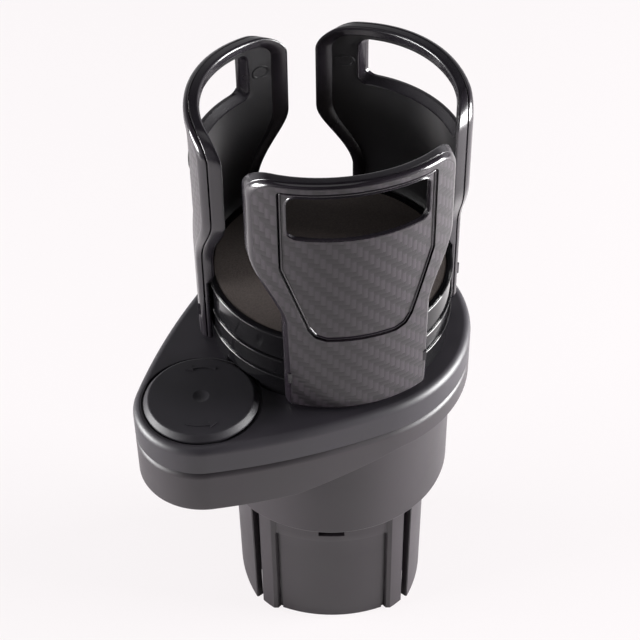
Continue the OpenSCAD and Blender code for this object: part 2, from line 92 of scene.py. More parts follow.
def newMaterial(name):
    material = bpy.data.materials.new(name)
    material.use_nodes = True
    tree = material.node_tree
    tree.nodes.clear()
    output = addNode(tree, "ShaderNodeOutputMaterial")
    coords = addNode(tree, "ShaderNodeTexCoord")
    return material, tree, output, coords


# the noise seldom leaves this range, so the ramps run from one end of it to the other
noiseSpan = (0.3, 0.7)


def noise(tree, coords, sizeMm, settings):
    return addNode(tree, "ShaderNodeTexNoise", {"Scale": 1 / (sizeMm * mm), **settings},
                   {"Vector": coords.outputs["Object"]}).outputs["Fac"]


def colourRamp(tree, factor, look, span=noiseSpan):
    ramp = addNode(tree, "ShaderNodeValToRGB", links={"Fac": factor})
    for element, place, colour in zip(ramp.color_ramp.elements, span, (look["dark"], look["light"])):
        element.position = place
        element.color = hexColour(colour)
    return ramp.outputs["Color"]


def greyRamp(tree, factor, low, high):
    settings = {"From Min": noiseSpan[0], "From Max": noiseSpan[1], "To Min": low, "To Max": high}
    return addNode(tree, "ShaderNodeMapRange", settings, {"Value": factor}).outputs["Result"]


def reliefNormal(tree, height, look):
    return addNode(tree, "ShaderNodeBump", {"Strength": look["bump"], "Distance": look["reliefMm"] * mm},
                   {"Height": height}).outputs["Normal"]


def addSurface(tree, output, settings, links):
    shader = addNode(tree, "ShaderNodeBsdfPrincipled", settings, links)
    tree.links.new(shader.outputs["BSDF"], output.inputs["Surface"])


# ABS moulded in a spark-eroded tool: even, dull, with a fine grain that breaks up the highlight.
# The real grain is about 0.1 mm; it is drawn at grainMm so that it shows.
mouldedLook = {"ior": 1.53, "specular": 0.5, "rough": 0.5, "roughSpread": 0.04, "bump": 0.25,
               "reliefMm": 0.05, "grainMm": 0.45, "cloudMm": 18,
               "grain": {"Detail": 2.0, "Roughness": 0.6}, "cloud": {"Detail": 3.0}}


def moulded(name, changes):
    look = {**mouldedLook, **changes}
    material, tree, output, coords = newMaterial(name)
    grain = noise(tree, coords, look["grainMm"], look["grain"])
    cloud = noise(tree, coords, look["cloudMm"], look["cloud"])
    rough = greyRamp(tree, cloud, look["rough"] - look["roughSpread"], look["rough"] + look["roughSpread"])
    addSurface(tree, output, {"IOR": look["ior"], "Specular IOR Level": look["specular"]},
               {"Base Color": colourRamp(tree, cloud, look), "Roughness": rough,
                "Normal": reliefNormal(tree, grain, look)})
    return material


# Carbon twill under satin lacquer: slanting rows of two dark tones, with a faint relief.
# The weave's own u and z, in metres, come with the mesh: u runs across the claw and z up it.
# 2/2 twill: each tow goes over two and under two, and each row steps one tow to the side.
carbonLook = {"towMm": 1.75, "warp": "#2b262b", "weft": "#1b181b", "gap": "#161416", "gapPower": 0.35,
              "repeat": 4.0, "lastOver": 1.5, "ior": 1.5, "rough": 0.36, "bump": 0.3, "reliefMm": 0.12}


def carbonWeave(name, look):
    material, tree, output, coords = newMaterial(name)
    weave = addNode(tree, "ShaderNodeUVMap", {"uv_map": "weave"})
    axes = addNode(tree, "ShaderNodeSeparateXYZ", links={"Vector": weave.outputs["UV"]})

    def maths(operation, *values):
        settings = {"operation": operation}
        links = {}
        for k, value in enumerate(values):
            if isinstance(value, (int, float)):
                settings[k] = value
            else:
                links[k] = value
        return addNode(tree, "ShaderNodeMath", settings, links).outputs["Value"]

    def crown(place):
        # 1 along the middle of a tow and 0 at its edges
        aside = maths("ABSOLUTE", maths("SUBTRACT", maths("FRACT", place), 0.5))
        return maths("SUBTRACT", 1.0, maths("MULTIPLY", maths("POWER", aside, 2.0), 4.0))

    across = maths("DIVIDE", axes.outputs["X"], look["towMm"] * mm)
    along = maths("DIVIDE", axes.outputs["Y"], look["towMm"] * mm)
    diagonal = maths("ADD", maths("FLOOR", across), maths("FLOOR", along))
    warpOver = maths("LESS_THAN", maths("FLOORED_MODULO", diagonal, look["repeat"]), look["lastOver"])
    height = addNode(tree, "ShaderNodeMix", {"data_type": "FLOAT"},
                     {0: warpOver, 2: crown(along), 3: crown(across)}).outputs[0]
    tow = addNode(tree, "ShaderNodeMix",
                  {"data_type": "RGBA", 6: hexColour(look["weft"]), 7: hexColour(look["warp"])},
                  {0: warpOver}).outputs[2]
    colour = addNode(tree, "ShaderNodeMix", {"data_type": "RGBA", 6: hexColour(look["gap"])},
                     {0: maths("POWER", height, look["gapPower"]), 7: tow}).outputs[2]
    addSurface(tree, output, {"IOR": look["ior"], "Roughness": look["rough"]},
               {"Base Color": colour, "Normal": reliefNormal(tree, height, look)})
    return material


# Black ABS polished in the tool: deep and glassy, with faint handling haze in the gloss.
polishedLook = {"ior": 1.53, "specular": 0.5, "roughSpread": 0.08, "hazeMm": 14, "haze": {"Detail": 4.0}}


def polished(name, changes):
    look = {**polishedLook, **changes}
    material, tree, output, coords = newMaterial(name)
    haze = noise(tree, coords, look["hazeMm"], look["haze"])
    rough = greyRamp(tree, haze, look["rough"], look["rough"] + look["roughSpread"])
    addSurface(tree, output, {"IOR": look["ior"], "Specular IOR Level": look["specular"]},
               {"Base Color": colourRamp(tree, haze, look), "Roughness": rough})
    return material


# Flocked rubber: soft, brownish black, with a nap of short fibres that scatters light.
flockedLook = {"ior": 1.5, "rough": 0.95, "specular": 0.2, "bump": 0.6, "reliefMm": 0.15,
               "nap": {"Detail": 4.0, "Roughness": 0.7}, "span": (0.35, 0.65)}


def flocked(name, changes):
    look = {**flockedLook, **changes}
    material, tree, output, coords = newMaterial(name)
    nap = noise(tree, coords, look["napMm"], look["nap"])
    addSurface(tree, output,
               {"IOR": look["ior"], "Roughness": look["rough"], "Specular IOR Level": look["specular"]},
               {"Base Color": colourRamp(tree, nap, look, look["span"]),
                "Normal": reliefNormal(tree, nap, look)})
    return material


# Plated or turned metal: a bright, slightly broken highlight, from a fine and uneven roughness.
metalLook = {"rough": 0.3, "smoother": 0.06, "rougher": 0.08, "gritMm": 0.6, "grit": {"Detail": 3.0}}


def metal(name, changes):
    look = {**metalLook, **changes}
    material, tree, output, coords = newMaterial(name)
    grit = noise(tree, coords, look["gritMm"], look["grit"])
    rough = greyRamp(tree, grit, look["rough"] - look["smoother"], look["rough"] + look["rougher"])
    addSurface(tree, output, {"Metallic": 1.0},
               {"Base Color": colourRamp(tree, grit, look), "Roughness": rough})
    return material


trayPlastic = moulded("mouldedAbsTray", {"dark": "#151218", "light": "#1b171e", "rough": 0.48})
knobPlastic = moulded("mouldedAbsKnob", {"dark": "#131116", "light": "#17141a", "rough": 0.54,
                                         "bump": 0.2, "specular": 0.36})
bodyPlastic = moulded("mouldedAbsBody", {"dark": "#191418", "light": "#1f191e", "cloudMm": 22})
# painted shade: a near-black copy of the body plastic for the plug's inner wall and the liner behind its
# slits, standing in for the shade inside the plug
plugInsidePaintedShade = moulded("paintedShadeAbsInside", {"dark": "#080708", "light": "#0b0a0b", "rough": 0.6,
                                        "bump": 0.2, "cloudMm": 22})
framePlastic = moulded("satinAbsClaw", {"dark": "#100f11", "light": "#151416", "rough": 0.36, "bump": 0.08,
                                        "grainMm": 0.5, "cloudMm": 26, "specular": 0.45})
glossPlastic = polished("polishedAbsSeat", {"dark": "#09090a", "light": "#0d0c0e", "rough": 0.06,
                                            "specular": 0.24})
# painted highlight: the rim beads get a lighter copy of the seat's polished black, with stronger specular
# than the seat, so the rim lines shine
rimPaintedHighlight = polished("polishedAbsRimPaintedHighlight", {"dark": "#0b0b0c", "light": "#0f0e10", "rough": 0.05})
clawGloss = polished("polishedAbsClaw", {"dark": "#141115", "light": "#19161b", "rough": 0.2, "hazeMm": 16})
coverEdge = polished("smoothCoverEdge", {"dark": "#161317", "light": "#1c181d", "rough": 0.12, "hazeMm": 12})
carbonPrint = carbonWeave("carbonTwillCover", carbonLook)
matRubber = flocked("flockedRubberMat", {"dark": "#3a3432", "light": "#47403d", "napMm": 0.5})
plainRubber = moulded("plainRubber", {"dark": "#101010", "light": "#171717", "rough": 0.8, "bump": 0.2,
                                      "grainMm": 0.6, "cloudMm": 8, "specular": 0.3})
zincSteel = metal("zincPlatedSteel", {"dark": "#a5a8aa", "light": "#c4c6c7"})
turnedBrass = metal("turnedBrass", {"dark": "#b08d4a", "light": "#c9a765", "rough": 0.28})
print("materials ready")


# Meshes: lengths are in millimetres until a vertex is made. Vertices and edges closer or shorter than the
# first two reaches, in metres, become one, and so do flat points within the third, in millimetres.
weldReach, collapseReach, flatReach = 2e-6, 1e-7, 1e-5
# a turned profile starts this far from its axis, in millimetres, and the weld closes the hole
axisR = 0.0005
roundSteps = [math.radians(a) for a in (0, 22.5, 45, 67.5, 90)]


def clamped(t):
    return min(1, max(0, t))


def polar(centre, r, degrees):
    return (centre[0] + r * math.cos(math.radians(degrees)),
            centre[1] + r * math.sin(math.radians(degrees)))


def arcPoints(centre, r, start, end, count):
    return [polar(centre, r, start + (end - start) * k / count) for k in range(count + 1)]


def circleLoop(r, centre=(0, 0), count=96):
    return arcPoints(centre, r, 0, 360, count)[:-1]


def roundedPath(corners, steps):
    # corners are (x, y, radius); each is replaced by an arc that touches both of its edges
    path = []
    count = len(corners)
    for k, (x, y, r) in enumerate(corners):
        here = Vector((x, y))
        if r <= 0:
            path.append((x, y))
            continue
        back = (Vector(corners[k - 1][:2]) - here).normalized()
        ahead = (Vector(corners[(k + 1) % count][:2]) - here).normalized()
        half = back.angle(ahead) / 2
        reach = r / math.tan(half)
        centre = here + (back + ahead).normalized() * (r / math.sin(half))
        first, last = here + back * reach - centre, here + ahead * reach - centre
        turn = first.angle_signed(last)
        for s in range(steps + 1):
            p = centre + Matrix.Rotation(-turn * s / steps, 2) @ first
            path.append((p.x, p.y))
    return path


def densify(loop, step):
    out = []
    for k, (x, y) in enumerate(loop):
        nx, ny = loop[(k + 1) % len(loop)]
        pieces = max(1, math.ceil(math.hypot(nx - x, ny - y) / step))
        out += [(x + (nx - x) * s / pieces, y + (ny - y) * s / pieces) for s in range(pieces)]
    return out


def inset(loop, d):
    # moves every point inwards by d along the mean of its two edges' normals; the loop runs anticlockwise
    count = len(loop)
    out = []
    for k in range(count):
        a, b, c = Vector(loop[k - 1]), Vector(loop[k]), Vector(loop[(k + 1) % count])
        n1, n2 = (b - a).normalized(), (c - b).normalized()
        n = Vector((-n1.y - n2.y, n1.x + n2.x)).normalized()
        spread = max(0.5, n.dot(Vector((-n1.y, n1.x))))
        out.append((b.x + n.x * d / spread, b.y + n.y * d / spread))
    return out


def insideLoop(point, loop):
    x, y = point
    hit = False
    for k in range(len(loop)):
        x1, y1 = loop[k - 1]
        x2, y2 = loop[k]
        if (y1 > y) != (y2 > y) and x < (x2 - x1) * (y - y1) / (y2 - y1) + x1:
            hit = not hit
    return hit


def fillRegion(bm, outer, holes, place, spacing=0, lines=(), tint=0):
    # triangles between an outer loop and its holes; place turns a flat point into a point in space,
    # spacing adds a lattice of inner points, and the triangles' edges follow the lines
    points, edges = [], []
    for loop in [outer] + list(holes):
        start = len(points)
        points += [Vector(p) for p in loop]
        edges += [(start + k, start + (k + 1) % len(loop)) for k in range(len(loop))]
    for line in lines:
        start = len(points)
        points += [Vector(p) for p in line]
        edges += [(start + k, start + k + 1) for k in range(len(line) - 1)]
    if spacing:
        border, clear = list(points), 0.6 * spacing
        xs = [p[0] for p in outer]
        ys = [p[1] for p in outer]
        rows = int((max(ys) - min(ys)) / spacing) + 1
        columns = int((max(xs) - min(xs)) / spacing) + 1
        for j in range(rows):
            for i in range(columns):
                p = (min(xs) + (i + 0.5 * (j % 2)) * spacing, min(ys) + (j + 0.5) * spacing)
                if insideLoop(p, outer) and not any(insideLoop(p, h) for h in holes):
                    if min((p[0] - b.x) ** 2 + (p[1] - b.y) ** 2 for b in border) > clear ** 2:
                        points.append(Vector(p))
    flat, _, faces, _, _, _ = delaunay_2d_cdt(points, edges, [], 0, flatReach)
    made = [bm.verts.new(Vector(place(p.x, p.y)) * mm) for p in flat]
    for face in faces:
        centre = sum((flat[k] for k in face), Vector((0, 0))) / len(face)
        if insideLoop(centre, outer) and not any(insideLoop(centre, h) for h in holes):
            bm.faces.new([made[k] for k in face]).material_index = tint


def stripBetween(bm, loops, tint=0):
    # closed loops of the same count, as points in space, joined one to the next
    rings = [[bm.verts.new(Vector(p) * mm) for p in loop] for loop in loops]
    for a, b in zip(rings, rings[1:]):
        for k in range(len(a)):
            n = (k + 1) % len(a)
            bm.faces.new([a[k], a[n], b[n], b[k]]).material_index = tint


def makeMesh(bm, name):
    mesh = bpy.data.meshes.new(name)
    bm.to_mesh(mesh)
    bm.free()
    return mesh


def finishPiece(bm, name, material, body, replaced=()):
    bmesh.ops.remove_doubles(bm, verts=bm.verts, dist=weldReach)
    bmesh.ops.dissolve_degenerate(bm, edges=bm.edges, dist=collapseReach)
    bmesh.ops.recalc_face_normals(bm, faces=bm.faces)
    return placePiece(makeMesh(bm, name), name, material, body, replaced)


def placePiece(mesh, name, material, body, replaced=(), sharpAngle=32):
    mesh.polygons.foreach_set("use_smooth", [True] * len(mesh.polygons))
    mesh.set_sharp_from_angle(angle=math.radians(sharpAngle))
    piece = bpy.data.objects.new(name, mesh)
    bpy.context.scene.collection.objects.link(piece)
    for layer in material if isinstance(material, list) else [material]:
        mesh.materials.append(layer)
    even = piece.modifiers.new("evenShading", "WEIGHTED_NORMAL")
    even.keep_sharp = True
    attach(piece, body)
    if replaced:
        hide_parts(*replaced)
    return piece


def revolve(bm, profile, centre=(0, 0), start=0, sweep=360, steps=160):
    # profile is a closed loop of (radius, height); a part turn gets end faces
    whole = sweep == 360
    count = max(4, round(steps * sweep / 360))
    rings = []
    for k in range(count if whole else count + 1):
        turn = start + sweep * k / count
        rings.append([bm.verts.new(Vector((*polar(centre, r, turn), z)) * mm) for r, z in profile])
    for k in range(count):
        a, b = rings[k], rings[(k + 1) % len(rings)]
        for i in range(len(profile)):
            j = (i + 1) % len(profile)
            bm.faces.new([a[i], a[j], b[j], b[i]])
    if not whole:
        bm.faces.new(rings[0])
        bm.faces.new(rings[-1])


def lathePiece(name, profile, material, body, replaced=(), arcs=((0, 360),)):
    bm = bmesh.new()
    for start, sweep in arcs:
        revolve(bm, profile, start=start, sweep=sweep)
    return finishPiece(bm, name, material, body, replaced)


# Claws: u runs across a claw and z up it, and a shell bends both round the axis. The field's corners are
# (u, z, radius), from the foot up; grooveSteps are (inset, depth) and beadSteps are (outset, depth).
clawLook = {"edgeRound": 1.2, "seam": 0.25, "cornerRound": 7, "footRound": 2, "waistZ": 149, "shoulderZ": 173,
            "waistHalf": 21.8, "footSteps": 5, "waistSteps": 14, "cornerSteps": 10, "bendSteps": 5,
            "outlineStep": 1.6, "windowRound": 2.6, "windowHalf": 20.4, "windowLow": 183.8,
            "windowHigh": 199.3,
            "fieldCorners": [(10.5, 145.3, 0), (13.9, 146.6, 2), (15.9, 149.7, 3), (23, 171, 3),
                             (23, 201.4, 1.2)],
            "grooveSteps": [(0, 0), (0.1, 0.1), (0.2, 0.8), (0.32, 0.88), (0.5, 0.66), (0.68, 0.4),
                            (0.84, 0.28), (1.0, 0.3), (1.15, 0.42), (1.3, 0.62)],
            "beadSteps": [(0.72, 0.62), (0.58, 0.4), (0.36, 0.32), (0.12, 0.44), (0, 0.8)],
            "archFrom": 176, "archFull": 200, "topDrop": 0.9, "archDrop": 2.3, "archHalf": 30.2,
            "coverThick": 1.6, "skinStep": 2.4, "hiddenStep": 3.2}
# the shell behind the cover; markSteps are the (inset, height) of the round marks beside the window
frameLook = {"coverGap": 0.1, "thick": 3, "drumGap": 0.4, "stepLow": 142.0, "stepHigh": 143.4,
             "panelDepth": 0.8, "panelFall": 2, "rimRound": 0.9, "rimFlat": 2.5, "rimEnd": 3.3,
             "rimSoft": 0.1, "sillDrop": 2.4, "sillUp": 0.4, "sillOut": 0.5, "revealIn": 0.35,
             "revealUp": 1.3, "foldIn": 0.4, "foldSteps": 24, "markR": 2.5, "markU": 24.0, "markZ": 190.8,
             "markPoints": 28, "markSteps": [(0, 0), (0.12, 0.3), (0.5, 0.3), (0.75, 0.05)]}
armLook = {"half": 6, "end": 33, "padFrom": 32.15, "padTo": 36.6, "padHalf": 21.4, "underPin": 0.8,
           "underDrum": 0.3, "underGuide": 0.15, "bevel": 0.3}


def clawOutline(half, foot, top):
    look = clawLook
    waist, r, f = look["waistHalf"], look["cornerRound"], look["footRound"]
    right = arcPoints((waist - f, foot + f), f, -90, 0, look["footSteps"])
    for k in range(1, look["waistSteps"] + 1):
        t = k / look["waistSteps"]
        right.append((waist + (half - waist) * t * t * (3 - 2 * t),
                      look["waistZ"] + (look["shoulderZ"] - look["waistZ"]) * t))
    right += arcPoints((half - r, top - r), r, 0, 90, look["cornerSteps"])
    return densify(right + [(-u, z) for u, z in reversed(right)], look["outlineStep"])


def arched(u, z):
    # the top edge falls a little from the middle to the corners
    look = clawLook
    t = clamped((z - look["archFrom"]) / (look["archFull"] - look["archFrom"]))
    return z - t * t * (3 - 2 * t) * (look["topDrop"] + look["archDrop"] * (u / look["archHalf"]) ** 2)


def onShell(radius):
    return lambda u, z: (math.sqrt(radius * radius - u * u), u, arched(u, z))


def liftLoop(loop, radius):
    return [onShell(radius)(u, z) for u, z in loop]


def roundedLoop(corners):
    return densify(roundedPath(corners, clawLook["bendSteps"]), clawLook["outlineStep"])


def windowLoop(grow):
    look = clawLook
    half, low, high, r = look["windowHalf"], look["windowLow"], look["windowHigh"], look["windowRound"]
    corners = [(-half, low, r), (half, low, r), (half, high, r), (-half, high, r)]
    return inset(roundedLoop(corners), -grow)


low, high = boxMm("claw_cover_1")
outerR, clawFoot, clawTop, clawHalf = high.x, low.z, high.z, high.y
coverIn = outerR - clawLook["coverThick"]
outline = clawOutline(clawHalf, clawFoot, clawTop)
seamLoop = inset(outline, clawLook["seam"])
fieldRight = clawLook["fieldCorners"]
fieldOuter = roundedLoop(fieldRight + [(-u, z, r) for u, z, r in reversed(fieldRight)])
windowEdge = windowLoop(0)

# cover: rounded outer edge, a groove round the sunk field, a bead round the window
bm = bmesh.new()
edge = clawLook["edgeRound"]
sides = [liftLoop(seamLoop, coverIn), liftLoop(outline, coverIn + clawLook["seam"])]
sides += [liftLoop(inset(outline, edge * (1 - math.cos(a))), outerR - edge + edge * math.sin(a))
          for a in roundSteps]
stripBetween(bm, sides, tint=1)
groove, bead = clawLook["grooveSteps"], clawLook["beadSteps"]
fieldInset, fieldDepth = groove[-1]
skinStep, hiddenStep = clawLook["skinStep"], clawLook["hiddenStep"]
fillRegion(bm, inset(outline, edge), [fieldOuter], onShell(outerR), skinStep)
stripBetween(bm, [liftLoop(inset(fieldOuter, d), outerR - deep) for d, deep in groove], tint=1)
fillRegion(bm, inset(fieldOuter, fieldInset), [windowLoop(bead[0][0])], onShell(outerR - fieldDepth),
           skinStep)
stripBetween(bm, [liftLoop(windowLoop(d), outerR - deep) for d, deep in bead]
             + [liftLoop(windowEdge, coverIn)], tint=1)
fillRegion(bm, seamLoop, [windowEdge], onShell(coverIn), hiddenStep, tint=1)
bmesh.ops.remove_doubles(bm, verts=bm.verts, dist=weldReach)
bmesh.ops.recalc_face_normals(bm, faces=bm.faces)
layer = bm.loops.layers.uv.new("weave")
for face in bm.faces:
    for corner in face.loops:
        place = corner.vert.co
        corner[layer].uv = (math.atan2(place.y, place.x) * outerR * mm, place.z)
coverMesh = makeMesh(bm, "clawCover")

# frame: a rounded glossy rim stands round the satin panel; below, it thins to pass round the drum
drumLow, drumHigh = boxMm("scroll_drum")
frameOut = coverIn - frameLook["coverGap"]
frameIn = frameOut - frameLook["thick"]
lowIn = drumHigh.x + frameLook["drumGap"]
stepLow, stepHigh = frameLook["stepLow"], frameLook["stepHigh"]


def innerRadius(z):
    return lowIn + (frameIn - lowIn) * clamped((z - stepLow) / (stepHigh - stepLow))


def panelRadius(z):
    return innerRadius(z) + frameLook["panelDepth"] * clamped((z - stepHigh) / frameLook["panelFall"])


def onInside(radiusAt, out=0):
    return lambda u, z: onShell(radiusAt(z) + out)(u, z)


def liftInside(loop, radiusAt, out=0):
    return [onInside(radiusAt, out)(u, z) for u, z in loop]


bm = bmesh.new()
look = frameLook
rim, soft = look["rimRound"], look["rimSoft"]
panelEdge = inset(outline, look["rimEnd"])
rimLoops = [liftLoop(seamLoop, frameOut), liftLoop(outline, frameOut - clawLook["seam"])]
rimLoops += [liftInside(inset(outline, rim * (1 - math.cos(a))), innerRadius, rim * (1 - math.sin(a)))
             for a in roundSteps]
rimLoops += [liftInside(inset(outline, look["rimFlat"]), innerRadius),
             liftInside(inset(outline, look["rimEnd"] - soft), panelRadius, -soft),
             liftInside(panelEdge, panelRadius)]
stripBetween(bm, rimLoops)
# on the inner side the window's opening is wider, and it reaches further down
windowLow, windowHigh, windowHalf = clawLook["windowLow"], clawLook["windowHigh"], clawLook["windowHalf"]
spread = (windowHalf + look["sillOut"]) / windowHalf
stretch = (windowHigh + look["sillUp"] - windowLow + look["sillDrop"]) / (windowHigh - windowLow)
sill = [(u * spread, windowHigh + look["sillUp"] - (windowHigh - z) * stretch) for u, z in windowEdge]
reach, foldSteps = clawLook["waistHalf"] - look["rimEnd"] - look["foldIn"], look["foldSteps"]
folds = [[((-1 + 2 * k / foldSteps) * reach, z) for k in range(foldSteps + 1)]
         for z in (stepLow, stepHigh, stepHigh + look["panelFall"])]
marks = [circleLoop(look["markR"], (side * look["markU"], look["markZ"]), look["markPoints"])
         for side in (-1, 1)]
fillRegion(bm, panelEdge, [sill] + marks, onInside(panelRadius), skinStep, folds, tint=1)
markInset, markTop = look["markSteps"][-1]
for mark in marks:
    stripBetween(bm, [liftInside(inset(mark, d), panelRadius, -up) for d, up in look["markSteps"]], tint=1)
    fillRegion(bm, inset(mark, markInset), [], onInside(panelRadius, -markTop), tint=1)
reveal = liftLoop(inset(sill, look["revealIn"]), frameIn + look["revealUp"])
stripBetween(bm, [liftInside(sill, panelRadius), reveal, liftLoop(windowEdge, frameOut)])
fillRegion(bm, seamLoop, [windowEdge], onShell(frameOut), hiddenStep)


def addBlock(bm, low, high, bevel):
    made = bmesh.ops.create_cube(bm, size=1)["verts"]
    size = [(h - l) * mm for l, h in zip(low, high)]
    middle = [(h + l) / 2 * mm for l, h in zip(low, high)]
    for v in made:
        v.co = Vector([c * s + m for c, s, m in zip(v.co, size, middle)])
    edges = {e for v in made for e in v.link_edges}
    bmesh.ops.bevel(bm, geom=list(edges), offset=bevel * mm, segments=2, affect="EDGES")


# the arm runs in under the drum to the claw's pin, and the pad joins it to the shell
armX = boxMm("claw_frame_1")[0].x
armZ = boxMm("claw_pin_1")[0].z - armLook["underPin"]
guideTop = drumLow.z - armLook["underDrum"]
armTop = guideTop - armLook["underGuide"]
addBlock(bm, (armX, -armLook["half"], armZ), (armLook["end"], armLook["half"], armTop), armLook["bevel"])
addBlock(bm, (armLook["padFrom"], -armLook["padHalf"], armZ), (armLook["padTo"], armLook["padHalf"], armTop),
         armLook["bevel"])
bmesh.ops.remove_doubles(bm, verts=bm.verts, dist=weldReach)
bmesh.ops.recalc_face_normals(bm, faces=bm.faces)
frameMesh = makeMesh(bm, "clawFrame")

for number, angle in ((1, 0), (2, 120), (3, 240)):
    body = f"claw_{number}"
    turn = Matrix.Rotation(math.radians(angle), 4, "Z")
    cover = coverMesh.copy()
    cover.transform(turn)
    placePiece(cover, f"clawCoverSkin{number}", [carbonPrint, coverEdge], body,
               [f"claw_cover_{number}"], 40)
    shell = frameMesh.copy()
    shell.transform(turn)
    placePiece(shell, f"clawFrameSkin{number}", [clawGloss, framePlastic], body,
               [f"claw_frame_{number}"], 40)
print("claws ready")


# Trays: both follow one outline, a circle round the cup and one round the pivot, joined by two long arcs
trayLook = {"cupR": 45, "tailR": 21, "pivotD": 54, "sideR": 218, "cupSteps": 90, "sideSteps": 24,
            "tailSteps": 60, "wall": 2.4, "topRound": 2.6, "topAngles": (0, 12, 24, 36, 48, 60, 72, 81, 90),
            "footRound": 0.3, "recessR": 18.6, "recessLip": 0.35, "recessDeep": 1, "bossIn": 6.05,
            "bossOut": 10, "bossSteps": 72, "sunk": 0.5, "skinStep": 6, "hiddenStep": 8}
sideA = trayLook["sideR"] - trayLook["cupR"]
sideB = trayLook["sideR"] - trayLook["tailR"]
pivotD = trayLook["pivotD"]
sideX = (sideB ** 2 - sideA ** 2 - pivotD ** 2) / (2 * pivotD)
sideY = math.sqrt(sideA ** 2 - sideX ** 2)
cupTangent = math.degrees(math.atan2(sideY, -sideX))
tailTangent = math.degrees(math.atan2(sideY, -pivotD - sideX))
pivot = (-pivotD, 0)


def trayLoop(m):
    look = trayLook
    # m is how far the loop lies inside the outline
    loop = arcPoints((0, 0), look["cupR"] - m, -cupTangent, cupTangent, look["cupSteps"])[:-1]
    loop += arcPoints((sideX, -sideY), look["sideR"] - m, cupTangent, tailTangent, look["sideSteps"])[:-1]
    loop += arcPoints(pivot, look["tailR"] - m, tailTangent, 360 - tailTangent, look["tailSteps"])[:-1]
    loop += arcPoints((sideX, sideY), look["sideR"] - m, -tailTangent, -cupTangent, look["sideSteps"])[:-1]
    return loop


def atHeight(loop, z):
    return [(x, y, z) for x, y in loop]


def ringAt(r, z, centre=(0, 0)):
    return atHeight(circleLoop(r, centre), z)


def lipRings(r, lip, z, centre=(0, 0)):
    # a rounded lip that leads from a level face at z into a round hole of radius r
    return [ringAt(r + lip * (1 - math.sin(a)), z - lip * (1 - math.cos(a)), centre) for a in roundSteps]


def topEdge(r, z, angles):
    # the outline's rounded upper edge, from its side up to the level face at z
    turns = [math.radians(90 - d) for d in angles]
    return [atHeight(trayLoop(r * (1 - math.sin(a))), z - r * (1 - math.cos(a))) for a in turns]


def level(z):
    return lambda x, y: (x, y, z)


low, high = boxMm("upper_tray")
trayZ, trayTop = low.z, high.z
wall, f = trayLook["wall"], trayLook["footRound"]
ceiling = trayTop - wall
skinStep, hiddenStep = trayLook["skinStep"], trayLook["hiddenStep"]
bm = bmesh.new()
# (inset, height) up the inner wall, round its foot and out to the side
footSteps = [(wall, ceiling), (wall, trayZ + f), (wall - f, trayZ), (f, trayZ), (0, trayZ + f)]
stripBetween(bm, [atHeight(trayLoop(m), z) for m, z in footSteps]
             + topEdge(trayLook["topRound"], trayTop, trayLook["topAngles"]))
recess, recessFloor = trayLook["recessR"], trayTop - trayLook["recessDeep"]
topHole = circleLoop(recess + trayLook["recessLip"], pivot)
fillRegion(bm, trayLoop(trayLook["topRound"]), [topHole], level(trayTop), skinStep)
stripBetween(bm, lipRings(recess, trayLook["recessLip"], trayTop, pivot)
             + [ringAt(recess, recessFloor, pivot)])
fillRegion(bm, circleLoop(recess, pivot), [], level(recessFloor))
fillRegion(bm, trayLoop(wall), [], level(ceiling), hiddenStep)
bossIn, bossOut, bossTop = trayLook["bossIn"], trayLook["bossOut"], ceiling + trayLook["sunk"]
revolve(bm, [(bossIn, trayZ), (bossOut, trayZ), (bossOut, bossTop), (bossIn, bossTop)], pivot,
        steps=trayLook["bossSteps"])
finishPiece(bm, "upperTrayShell", trayPlastic, "tray", ["upper_tray"])

# lower shell: deep at the pivot and shallow round the well
lowerLook = {"floorThick": 2.2, "stepUp": 55.5, "shelfUp": 2.5, "wellR": 39.25, "wellIn": 36.45,
             "neckR": 25.8, "wellLip": 0.7, "skirtTail": 16, "skirtCup": 8.2, "slopeRun": 11,
             "deckRound": 2.1, "deckAngles": (0, 15, 30, 45, 60, 75, 90), "bossR": 9.6, "bossSoft": 0.3,
             "postR": 6.05, "thrustZ": 104.7, "thrustGap": 0.1, "nutR": 7.05, "nutHigh": 4.6, "nutGap": 0.3,
             "nutStep": 0.6, "ribCount": 6, "ribThick": 1.8, "ribLift": 3, "ribStep": 0.5, "ribSunk": 1,
             "ribGap": 0.6}
stepZ = boxMm("well_mat")[0].z - lowerLook["floorThick"] + lowerLook["stepUp"]
deckZ = boxMm("lower_body")[1].z
shelfZ = stepZ + lowerLook["shelfUp"]
wellR, wellIn, neckR = lowerLook["wellR"], lowerLook["wellIn"], lowerLook["neckR"]
boss, postR, thrustZ = lowerLook["bossR"], lowerLook["postR"], lowerLook["thrustZ"]
thrustR = boxMm("friction_washer")[1].y + lowerLook["thrustGap"]


def skirtLow(x):
    look = lowerLook
    t = clamped((x + pivotD - look["slopeRun"]) / (pivotD - 2 * look["slopeRun"]))
    return deckZ - look["skirtTail"] + (look["skirtTail"] - look["skirtCup"]) * t


def onSkirt(m, lift):
    return [(x, y, skirtLow(x) + lift) for x, y in trayLoop(m)]


bm = bmesh.new()
look = lowerLook
ceiling = deckZ - wall
# (inset, lift) round the skirt's foot, from the inner wall to the side
skirtSteps = [(wall, 0.4), (wall - 0.4, 0), (0.5, 0), (0.15, 0.15), (0, 0.5)]
stripBetween(bm, [atHeight(trayLoop(wall), ceiling)] + [onSkirt(m, lift) for m, lift in skirtSteps]
             + topEdge(look["deckRound"], deckZ, look["deckAngles"]))
deckHoles = [circleLoop(wellIn + look["wellLip"]), circleLoop(thrustR, pivot)]
fillRegion(bm, trayLoop(look["deckRound"]), deckHoles, level(deckZ), skinStep)
